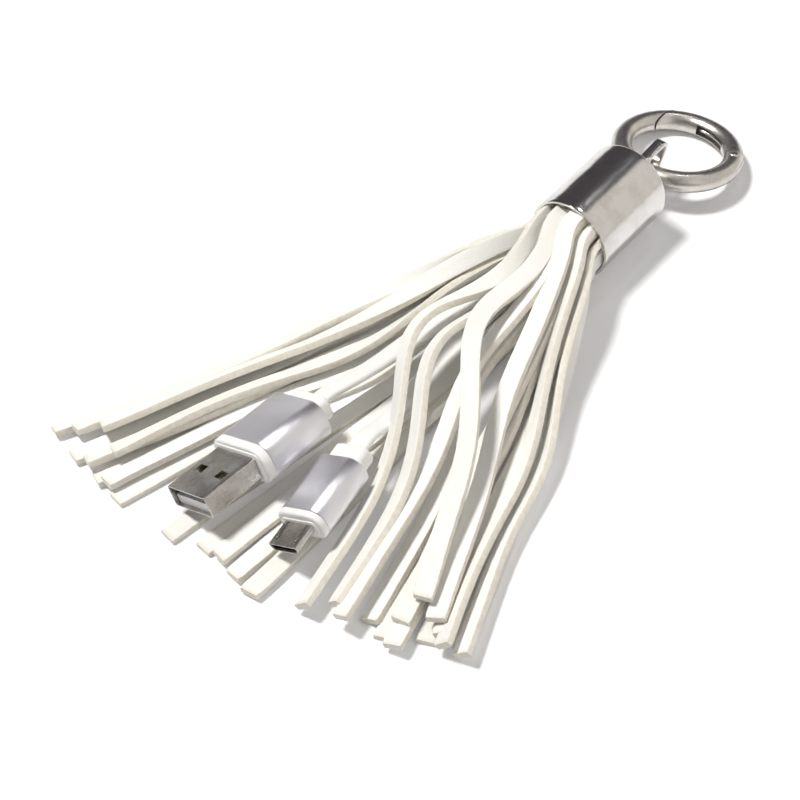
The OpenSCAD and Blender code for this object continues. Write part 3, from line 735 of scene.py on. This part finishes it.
band_rings = []
core_r = math.hypot(CABLE_W / 2, CABLE_T + 0.05)
band_end = (ROLL_R - core_r - STRIP_T / 2 - 0.05) * 360 / ROLL_PITCH
thick = STRIP_T / 2
for k in range(BAND_STEPS + 1):
    a = -BAND_TAIL + (band_end + BAND_TAIL) * k / BAND_STEPS
    r, p = roll_at(a), math.radians(ROLL_START - a)
    band_rings.append(place([((r + dr) * math.cos(p), y, CAP_Z + (r + dr) * math.sin(p))
                             for dr, y in ((-thick, BAND_FROM), (thick, BAND_FROM),
                                           (thick, BAND_TO), (-thick, BAND_TO))]))
piece("leather_roll", loft(band_rings), "tassel", LEATHER, "fringe")

# %% [markdown]
# The strips are drawn one by one. Each row gives its slot on the roll, where its tip lies, how
# much shorter it is than the longest, its sideways bow and where that is, the layer that it
# lies in, how high it arches and how far it leans on its edge. The slots, lengths and tips keep
# to the fan of the CAD source. The leans and the crossings near the cap follow the photograph,
# and each strip also gets small waves, an uneven width and a tip that isn't cut quite square.
# A strip leaves the cap straight and fans out over the next few millimetres, so the rim shows.

# %% Strips: the rows
ROWS = [
    (7, -30, 0, 3, 45, 0, 0, 0), (18, -36, 1, 2, 45, 0, 0, -10), (8, -43, 2, -1, 45, 0, 0, -10),
    (9, -50, 4, -2, 45, 0, 0, -20), (26, -33, 1, 2, 45, 1, 0, -10),
    (17, -39, 2, 0, 45, 1, 0, -25), (19, -46, 6, -2, 45, 1, 0, -30),
    (27, -36, 6, 3, 45, 2, 0, -30), (20, -42, 9, 1, 45, 2, 0, -35), (6, -17, 0, 0, 50, 0, 0, 0),
    (25, -10, 2, 0, 50, 0, 0, 0), (16, -2, 1, 0, 50, 0, 0, -15), (24, -6, 2, 0, 50, 1, 0, 0),
    (5, 3, 0, 0, 50, 0.5, 0, 0), (15, 27, 8, 2, 40, 0, 0, 0), (4, 33, 12, 1, 40, 0, 0, 0),
    (3, 39, 15, 1, 30, 0, 0, 0), (23, 30, 7, 1, 40, 1, 0, -15), (14, 35, 14, 1, 40, 1, 0, -30),
    (2, 40, 13, 3, 45, 0.6, 0, -45), (13, 28, 11, -1, 60, 2, 0, -10),
    (0, 33, 15, -2, 40, 2.3, 3, -10), (1, 37, 12, 2, 45, 1.4, 0, -45),
    (22, 23, 9, -4, 40, 0, 5, -20), (21, 17, 7, -8, 42, 1, 9, -50),
    (10, 12.5, 3, -9, 40, 1, 9, -50), (12, 20, 5, -3, 40, 2, 5, -30),
    (11, 29, 16, -8, 34, 3.4, 10, -5),
]
BOW_W, ARCH_AT, ARCH_W, ARCH_FROM = 16.0, 44.0, 22.0, 12.0
RIM_KEEP = 6.0
RIM_GAP, RIM_FLARE, RIM_REACH = 0.04, 0.6, 3
print(len(ROWS), "strips")


# %% Strips: the course of one strip
def bell(s, at, width):
    return math.exp(-((s - at) / width) ** 2)


def strip_roll(row, start, s):
    return start[2] * (1 - smooth(s / SLUMP_L)) + row[7] * smooth((s - LEAN_FROM) / LEAN_OVER)


def half_height(roll):
    """Height of a strip's middle over the table when it lies on it with this roll."""
    a = math.radians(roll)
    return BED + STRIP_W / 2 * abs(math.sin(a)) + STRIP_T / 2 * abs(math.cos(a))


def strip_point(row, start, s):
    """Middle of a strip at the distance s from the mouth, above what it lies on."""
    _, tip, short, bow, bow_at, layer, arch_h, lean_by = row
    k = s / (FRINGE_L - short)
    swell = math.sqrt(math.sin(math.pi * min(max(k, 0), 1)))
    fan = k * (1 - bell(s, 0, RIM_KEEP))
    x = start[0] + (tip - start[0]) * fan + bow * bell(s, bow_at, BOW_W) * swell
    bed = half_height(lean_by) + layer * LAYER
    arch = arch_h * bell(s, ARCH_AT, ARCH_W) * smooth(s / ARCH_FROM)
    fall = bed + (start[1] - bed) * (1 - smooth(s / SLUMP_L)) + arch
    return Vector((x, -s, max(fall, half_height(strip_roll(row, start, s)))))


# %% Strips: section, small waves and tips
PUFF = 0.25


def strip_section():
    """Points (across, up) of a strip's section, and whether each is on a cut edge."""
    ease = 0.16
    flat, cuts = [], []
    for k, (sx, sz) in enumerate(((1, 1), (-1, 1), (-1, -1), (1, -1))):
        for i in range(4):
            a = math.radians(90 * k + 30 * i)
            flat.append((sx * (STRIP_W / 2 - ease) + ease * math.cos(a),
                         sz * (STRIP_T / 2 - ease) + ease * math.sin(a) + (PUFF if sz > 0 else 0)))
            cuts.append(abs(math.cos(a)) > 0.6)
        if k in (0, 2):
            for u in (0.55, 0, -0.55):
                rise = PUFF + 0.04 if sz > 0 else 0
                flat.append((sx * u * STRIP_W / 2, sz * STRIP_T / 2 + rise))
                cuts.append(False)
    return flat, cuts


SECTION, ON_CUT = strip_section()
STRIP_RINGS = 96
LIVE_FROM, LIVE_OVER, SWAY_TURN, SWAY_SIDE = 6, 30, 5, 0.28
UNEVEN, CUT_ROUGH, END_SLIM, SKEW_OVER = 0.03, 0.05, 0.93, 12


def inside_cap(q, s):
    """The point, drawn in to the cap's inner wall where the strip comes out of it."""
    room = CAP_D / 2 - CAP_WALL - RIM_GAP + max(s, 0) * RIM_FLARE
    off = math.hypot(q.x, q.z - CAP_Z)
    if s > RIM_REACH or off <= room:
        return q
    return Vector((q.x * room / off, q.y, CAP_Z + (q.z - CAP_Z) * room / off))


def strip_rings(row, number):
    """Rings of one strip, with the values of its three attributes."""
    draw = random.Random(100 + number)
    waves = [(draw.uniform(9, 14), draw.uniform(0, 6.28), draw.uniform(0.6, 1)),
             (draw.uniform(4, 6), draw.uniform(0, 6.28), draw.uniform(0.2, 0.4))]
    skew = draw.uniform(-0.5, 0.5)
    tone = draw.random()
    start = root(row[0])
    reach = FRINGE_L - row[2]
    stops = [-ROOT_IN] + [reach * i / STRIP_RINGS for i in range(STRIP_RINGS + 1)]
    rings, values = [], []
    for j, s in enumerate(stops):
        live = smooth((s - LIVE_FROM) / LIVE_OVER)
        sway = sum(size * math.sin(s / span + phase) for span, phase, size in waves)
        p = strip_point(row, start, s)
        t = (strip_point(row, start, s + 0.5) - strip_point(row, start, s - 0.5)).normalized()
        side = (Vector((1, 0, 0)) - t.x * t).normalized()
        up = side.cross(t)
        a = math.radians(strip_roll(row, start, s) + SWAY_TURN * sway * live)
        p = p + side * SWAY_SIDE * sway * live
        across = side * math.cos(a) + up * math.sin(a)
        over = up * math.cos(a) - side * math.sin(a)
        wide = 1 + UNEVEN * math.sin(s / 7 + waves[0][1])
        slim = 1 if 0 < j < len(stops) - 1 else END_SLIM
        ring = []
        for (u, v), on_cut in zip(SECTION, ON_CUT):
            rough = CUT_ROUGH * math.sin(s * 2.7 + u * 3 + number) * on_cut
            back = skew * (u / STRIP_W) * smooth((s - reach + SKEW_OVER) / SKEW_OVER)
            out = u * wide * slim + math.copysign(rough, u)
            q = p + across * out + over * v * slim - t * back
            q = inside_cap(q, s)
            ring.append((q.x, q.y, max(q.z, BED)))
            edge_here = on_cut or j == len(stops) - 1
            values.append((1.0 if edge_here else 0.0, tone, (s, u + 9 * number, v)))
        rings.append(place(ring))
    return rings, values


# %% Strips: one piece
skins, values = [], []
for number, row in enumerate(ROWS):
    rings, own_values = strip_rings(row, number)
    skins.append(loft(rings))
    values += own_values
strips = piece("leather_strips", merge(*skins), "tassel", LEATHER, "fringe", angle=50)
for name, kind, field, data in (
        ("cut_edge", "FLOAT", "value", [v[0] for v in values]),
        ("own_tone", "FLOAT", "value", [v[1] for v in values]),
        ("course", "FLOAT_VECTOR", "vector", [x for v in values for x in v[2]])):
    strips.data.attributes.new(name, kind, "POINT").data.foreach_set(field, data)
print("strips:", len(strips.data.vertices), "vertices")

# %% [markdown]
# The cap is a drawn cup of thin sheet, plated and polished. A lathe profile is turned about the
# cap's axis, with an eased lip at the mouth and a rounded shoulder at the closed end. Years of
# keys have left fine pits and scuffs in the plating.

# %% Finishes: plated cap and key ring
plating = Finish("plated_cap", Metallic=1.0)
pits = plating.node("ShaderNodeTexVoronoi", Vector=plating.place(), Scale=620).outputs["Distance"]
pit_mask = plating.noise(260, plating.place(), detail=4.0, rough=0.6)
wave = plating.noise(130, plating.place(), detail=2.0)
scuff = plating.noise(1500, plating.place((1, 4, 1)), detail=5.0, rough=0.7)
marks = plating.ramp(pits, 0.04, 0.2, 1, 0)
scuffed = plating.bump(scuff, 0.000012, 0.5, after=plating.bump(wave, 0.0002, 0.6))
CAP_PLATE = plating.set(
    Base_Color=plating.mix(plating.ramp(pit_mask, 0.45, 0.75, 0, 0.6),
                           rgb(0.76, 0.74, 0.72), rgb(0.56, 0.53, 0.49)),
    Roughness=plating.ramp(scuff, 0.3, 0.8, 0.09, 0.28),
    Normal=plating.bump(marks, 0.00003, 0.35, after=scuffed),
)
RING_PLATE = worn_metal("plated_ring", rgb(0.56, 0.53, 0.49), rgb(0.76, 0.73, 0.69), 0.24, 0.42)
print("made", CAP_PLATE.name, RING_PLATE.name)

# %% Cap
CAP_FLOOR = CAP_L - CAP_WALL


def cap_profile():
    """Lathe profile (distance along the cap, radius) from the axis outside to the axis inside."""
    outer, inner = CAP_D / 2, CAP_D / 2 - CAP_WALL
    lip = 0.15
    points = [(CAP_L, 0.02)]
    points += [(CAP_L - CAP_EDGE + CAP_EDGE * math.cos(math.radians(a)),
                outer - CAP_EDGE + CAP_EDGE * math.sin(math.radians(a))) for a in range(0, 91, 9)]
    points += [(y, outer) for y in (18, 14, 10, 6, 3, 1)]
    points += [(lip, outer), (lip * 0.3, outer - lip * 0.3), (0, outer - lip)]
    points += [(0, inner + lip), (lip, inner), (10, inner), (CAP_FLOOR - 0.4, inner)]
    return points + [(CAP_FLOOR, inner - 0.4), (CAP_FLOOR, 0.02)]


CAP_SIDES = 160
profile = cap_profile()
cap_rings = []
for i in range(CAP_SIDES):
    a = 2 * math.pi * i / CAP_SIDES
    cap_rings.append(place([(r * math.sin(a), y, CAP_Z + r * math.cos(a)) for y, r in profile]))
piece("cap_shell", loft(cap_rings, closed=True), "tassel", CAP_PLATE, "cap", angle=30)

# %% [markdown]
# The loop is one strip of plated metal. Its feet are folded out behind the cap's end, its legs
# come out through two slots, and between them it goes round the ring's wire and over a rounded
# tip. It is swept along a line in the plane x = 0 with a section whose edges are eased.

# %% Loop
LOOP_W, LOOP_T = 2.2, 1.0
WIRE_R = 2.2
RING_R = 11.8
TILT, ROLL = 10.4, 3.7
HANG_Y = CAP_L + 6.2
tilted, rolled = math.radians(TILT), math.radians(ROLL)
lean = math.acos(math.cos(tilted) * math.cos(rolled))
HANG_Z = WIRE_R + RING_R * (math.sin(lean) + math.sin(tilted) * math.cos(rolled))
HUG_R, HUG_FROM, HUG_TO = WIRE_R + 0.25 + LOOP_T / 2, -116, -25
TIP_R, TIP_TO, SIDE_L = 1.3, 95, 5.4
LEG_Z, FOOT = 2.3, [(0.7, 0.0), (0.2, 0.1), (0, 0.6), (0, 3)]


def polar(r, a):
    return Vector((math.cos(math.radians(a)), math.sin(math.radians(a)))) * r


def arc(at, r, a0, a1, steps=20):
    return [at + polar(r, a0 + (a1 - a0) * i / steps) for i in range(steps + 1)]


hang = Vector((HANG_Y, HANG_Z))
tip_at = hang + polar(HUG_R, HUG_TO) + polar(SIDE_L, HUG_TO + 90) - polar(TIP_R, HUG_TO)
foot_y = CAP_FLOOR - LOOP_T
lower = [Vector((foot_y + out, CAP_Z - LEG_Z - down)) for out, down in reversed(FOOT)]
upper = [Vector((foot_y + out, CAP_Z + LEG_Z + up)) for out, up in FOOT]
loop_line = (lower + arc(hang, HUG_R, HUG_FROM, HUG_TO) + arc(tip_at, TIP_R, HUG_TO, TIP_TO)
             + upper)
loop_rings = []
for i, p in enumerate(loop_line):
    t = heading(loop_line, i)
    out = Vector((-t.y, t.x))
    loop_rings.append(place([(u, p.x + out.x * v, p.y + out.y * v)
                             for u, v in rounded(LOOP_W, LOOP_T, 0.22, 3)]))
piece("hanging_loop", loft(loop_rings), "tassel", CAP_PLATE, "loop", angle=45)

# %% [markdown]
# The key ring is round wire. A third of it is the gate, which turns about a rivet between two
# cheeks and meets the body again at a seam. The ring hangs on the loop and its far side lies on
# the table, so it is tilted. Its parts are drawn flat about the ring's middle, cut with plain
# cutters as the maker's saw would, and then turned into place.

# %% Helpers for the key ring
RING_PLACE = (Matrix.Translation(Vector((0, HANG_Y, HANG_Z)))
              @ Matrix.Rotation(-rolled, 4, "Y") @ Matrix.Rotation(-tilted, 4, "X")
              @ Matrix.Translation(Vector((0, RING_R, 0))))
PIN_AT = 22.0
PIN = polar(RING_R, PIN_AT)
TALL = 9.0


def in_ring(points):
    return place([RING_PLACE @ Vector(p) for p in points])


def ring_skin(skin):
    return in_ring(skin[0]), skin[1]


def wire(a0, a1, sides=40):
    """A stretch of the ring's wire between two angles."""
    steps = max(int(abs(a1 - a0) / 2), 8)
    rings = []
    for i in range(steps + 1):
        a = a0 + (a1 - a0) * i / steps
        ring = []
        for k in range(sides):
            b = 360 * (k + 0.5) / sides
            flat = polar(RING_R + WIRE_R * math.cos(math.radians(b)), a)
            ring.append((flat.x, flat.y, WIRE_R * math.sin(math.radians(b))))
        rings.append(ring)
    return loft(rings)


def prism(outline, z0, z1):
    """An upright prism over a flat outline of (x, y) points."""
    return loft([[(x, y, z) for x, y in outline] for z in (z0, z1)])


def disc(r, z0, z1, sides=64):
    return prism([tuple(PIN + polar(r, 360 * i / sides)) for i in range(sides)], z0, z1)


def at_pin(points):
    """Flat points drawn about the pin, +X outwards and +Y towards the gate."""
    turn = Matrix.Rotation(math.radians(PIN_AT), 2)
    return [tuple(PIN + turn @ Vector(p)) for p in points]


def slab(x0, x1, y0, y1, z0, z1):
    return prism(at_pin([(x0, y0), (x1, y0), (x1, y1), (x0, y1)]), z0, z1)


print("ring's middle at", in_ring([(0, 0, 0)])[0])

# %% Body of the key ring
CHEEK_R, TONGUE_T, SEAM_AT, SEAM_REACH, SEAM_GAP = 2.3, 1.5, 133, 19.5, 0.3
WIDE, PAST = 4.4, 6.0
SEAM_SPARE, PIN_SPARE = 28, 14


def round_cheeks():
    """Everything on the gate's side of the pin that lies outside the round cheeks."""
    outline = ([(-WIDE, 0)] + [tuple(polar(CHEEK_R, a)) for a in range(180, -1, -6)]
               + [(WIDE, 0), (WIDE, PAST), (-WIDE, PAST)])
    return prism(at_pin(outline), -TALL, TALL)


def seam_arc(r):
    """Circle about the pin, in the quarter of the ring where the seam is."""
    return [tuple(PIN + polar(r, a)) for a in range(124, 194, 2)]


ring_body = piece("key_ring_body", ring_skin(wire(SEAM_AT - SEAM_SPARE, 360 + PIN_AT + PIN_SPARE)),
                  "ring", RING_PLATE, "ring_body")
carve(ring_body,
      ring_skin(round_cheeks()),
      ring_skin(slab(-WIDE, WIDE, -2.6, PAST, -0.9, 0.9)),
      ring_skin(prism(seam_arc(SEAM_REACH + SEAM_GAP / 2) + [(0, 0)], -TALL, TALL)))

# %% Gate of the key ring
HALF_T = TONGUE_T / 2
SLOT_FROM, SLOT_TO, SLOT_W, SLOT_DEEP = 50, 98, 2.2, 0.7


def cheek_room(z0, z1):
    """Room for one cheek of the body."""
    outline = ([(-WIDE, -PAST), (WIDE, -PAST), (WIDE, 0)]
               + [tuple(polar(CHEEK_R + 0.15, a)) for a in range(0, 181, 6)] + [(-WIDE, 0)])
    return prism(at_pin(outline), z0, z1)


def tongue_room():
    """Room behind the tongue, which is round inside and square outside."""
    outline = ([(-WIDE, -0.1)] + [tuple(polar(2.0, a)) for a in range(183, 271, 6)]
               + [(0, -2.5), (WIDE, -2.5), (WIDE, -PAST), (-WIDE, -PAST)])
    return prism(at_pin(outline), -TALL, TALL)


slot_outline = ([tuple(polar(RING_R + SLOT_DEEP, a)) for a in range(SLOT_FROM, SLOT_TO + 1, 2)]
                + [tuple(polar(RING_R - WIDE, a)) for a in range(SLOT_TO, SLOT_FROM - 1, -2)])
gate = piece("key_ring_gate", ring_skin(wire(PIN_AT - PIN_SPARE, SEAM_AT + SEAM_SPARE)),
             "gate", RING_PLATE, "ring_gate")
carve(gate,
      ring_skin(cheek_room(HALF_T, TALL)), ring_skin(cheek_room(-TALL, -HALF_T)),
      ring_skin(tongue_room()), ring_skin(disc(0.85, -TALL, TALL)),
      ring_skin(prism(seam_arc(SEAM_REACH - SEAM_GAP / 2) + [(-28, 0), (-28, 28), (0, 28)],
                      -TALL, TALL)),
      ring_skin(prism(slot_outline, -SLOT_W / 2, SLOT_W / 2)))

# %% Rivet and spring
head = [(0.001, 2.42), (0.6, 2.42), (0.85, 2.36), (1.0, 2.24), (1.0, 2.1), (0.8, 2.08)]
rivet_profile = head + [(r, -z) for r, z in reversed(head)]
rivet_rings = []
for i in range(48):
    rivet_rings.append([tuple(PIN + polar(r, 7.5 * i)) + (z,) for r, z in rivet_profile])
piece("gate_rivet", ring_skin(loft(rivet_rings, closed=True)), "ring", RING_PLATE,
      "gate_pin")

SPRING_D = 0.7
spring_out = RING_R + SLOT_DEEP - SPRING_D / 2
spring_in = RING_R - 1.5
spring_half = (spring_out - spring_in) / 2
spring_from, spring_eye = SLOT_FROM + 3, SLOT_TO - 7
eye_at = polar(spring_in + spring_half, spring_eye)
sweep = spring_eye - spring_from
spring_line = ([polar(spring_out, spring_from + sweep * i / 16) for i in range(17)]
               + [eye_at + polar(spring_half, spring_eye + b) for b in range(15, 166, 15)]
               + [polar(spring_in, spring_eye - sweep * i / 16) for i in range(17)])
spring_rings = []
for i, p in enumerate(spring_line):
    t = heading(spring_line, i)
    out = Vector((-t.y, t.x))
    spring_rings.append([(p.x + out.x * u, p.y + out.y * u, v)
                         for u, v in (tuple(polar(SPRING_D / 2, 36 * k)) for k in range(10))])
piece("gate_spring_wire", ring_skin(loft(spring_rings)), "gate", SPRING_STEEL,
      "gate_spring", angle=60)

# %% [markdown]
# The maker tumbles such parts, so no edge is left sharp. A bevel modifier eases the edges that
# the cutters left, and is kept small against the wire.

# %% Ease the cut edges
for target, width in ((ring_body, 0.14), (gate, 0.14), (usb_shell, 0.05), (micro_shell, 0.04)):
    ease = target.modifiers.new("ease", "BEVEL")
    ease.width = width * MM
    ease.segments = 2
    ease.limit_method = "ANGLE"
    ease.angle_limit = math.radians(40)
    ease.use_clamp_overlap = True
    ease.harden_normals = True
    print(target.name, "edges eased by", width, "mm")

# %% [markdown]
# The table is a plain pale sheet that keeps the soft shadow falling away from the light. To the
# camera it has a faint glow, which grows to plain white well away from the tassel.

# %% Table
half = 1.5
table = bpy.data.objects.new("table", bpy.data.meshes.new("table"))
corners = [(-half, -half, 0), (half, -half, 0), (half, half, 0), (-half, half, 0)]
table.data.from_pydata(corners, [], [(0, 1, 2, 3)])
bpy.context.scene.collection.objects.link(table)
paper = Finish("white_table", Base_Color=rgb(0.90, 0.905, 0.925), Roughness=0.9,
               Specular_IOR_Level=0.1, Emission_Color=rgb(1, 1, 1))
seen = paper.node("ShaderNodeLightPath").outputs["Is Camera Ray"]
reach = paper.node("ShaderNodeVectorMath")
reach.operation = "LENGTH"
paper.feed(reach.inputs[0], paper.node("ShaderNodeTexCoord").outputs["Object"])
glow = paper.node("ShaderNodeMath")
glow.operation = "MULTIPLY"
paper.feed(glow.inputs[0], fade(paper.tree, reach.outputs["Value"], 0.09, 0.45, 0.1, 1.0))
paper.feed(glow.inputs[1], seen)
table.data.materials.append(paper.set(Emission_Strength=glow.outputs[0]))
print("table ready")

# %% [markdown]
# The light is that of a small studio. A key lamp high on the left gives the shadow on the
# right, a small lamp behind gives the sparkle on the metal, and a weak one fills in. The room is
# pale at the back on the right and dark high at the back on the left, which the cap reflects.

# %% Lamps and room
AIM = Vector((0, 0, 0.005))


def lamp(name, at, size, power, tint=(1, 1, 1)):
    made = bpy.data.objects.new(name, bpy.data.lights.new(name, "AREA"))
    made.data.shape = "DISK"
    made.data.size = size
    made.data.energy = power
    made.data.color = tint
    away = (Vector(at) - AIM).normalized()
    turn = away.to_track_quat("Z", "Y").to_matrix().to_4x4()
    made.matrix_world = Matrix.Translation(Vector(at)) @ turn
    bpy.context.scene.collection.objects.link(made)
    print(name, "at", at)


lamp("key_lamp", (-0.54, -0.2, 1.18), 0.26, 16.8, (1.0, 0.985, 0.955))
lamp("back_lamp", (-0.13, 0.59, 1.05), 0.12, 0.7)
lamp("fill_lamp", (0.9, -0.5, 0.7), 0.9, 0.5, (1.0, 0.99, 0.97))

world = bpy.data.worlds.new("room")
world.use_nodes = True
bpy.context.scene.world = world
nodes, links = world.node_tree.nodes, world.node_tree.links
back = nodes["Background"]
where = nodes.new("ShaderNodeTexCoord")


def lobe(direction, start, end):
    """1 inside a round part of the room about a direction, 0 outside, from cosine to cosine."""
    facing = nodes.new("ShaderNodeVectorMath")
    facing.operation = "DOT_PRODUCT"
    facing.inputs[1].default_value = Vector(direction).normalized()
    links.new(where.outputs["Generated"], facing.inputs[0])
    return fade(world.node_tree, facing.outputs["Value"], start, end)


def blend(amount, under, over):
    """Colour between two others."""
    mixer = nodes.new("ShaderNodeMix")
    mixer.data_type = "RGBA"
    for key, value in (("Factor", amount), (6, under), (7, over)):
        socket = mixer.inputs[key]
        if isinstance(value, bpy.types.NodeSocket):
            links.new(value, socket)
        else:
            socket.default_value = value
    return mixer.outputs[2]


walls = blend(lobe((0.75, 0.5, 0.43), 0.4, 0.75), rgb(0.11, 0.11, 0.12), rgb(0.74, 0.71, 0.67))
walls = blend(lobe((-0.645, 0.591, 0.484), 0.66, 0.72), walls, rgb(0.065, 0.06, 0.068))
path = nodes.new("ShaderNodeLightPath")
links.new(blend(path.outputs["Is Camera Ray"], walls, rgb(1, 1, 1)), back.inputs["Color"])
back.inputs["Strength"].default_value = 1.0
print("room ready")

# %% Picture
bpy.context.scene.view_settings.view_transform = "Standard"
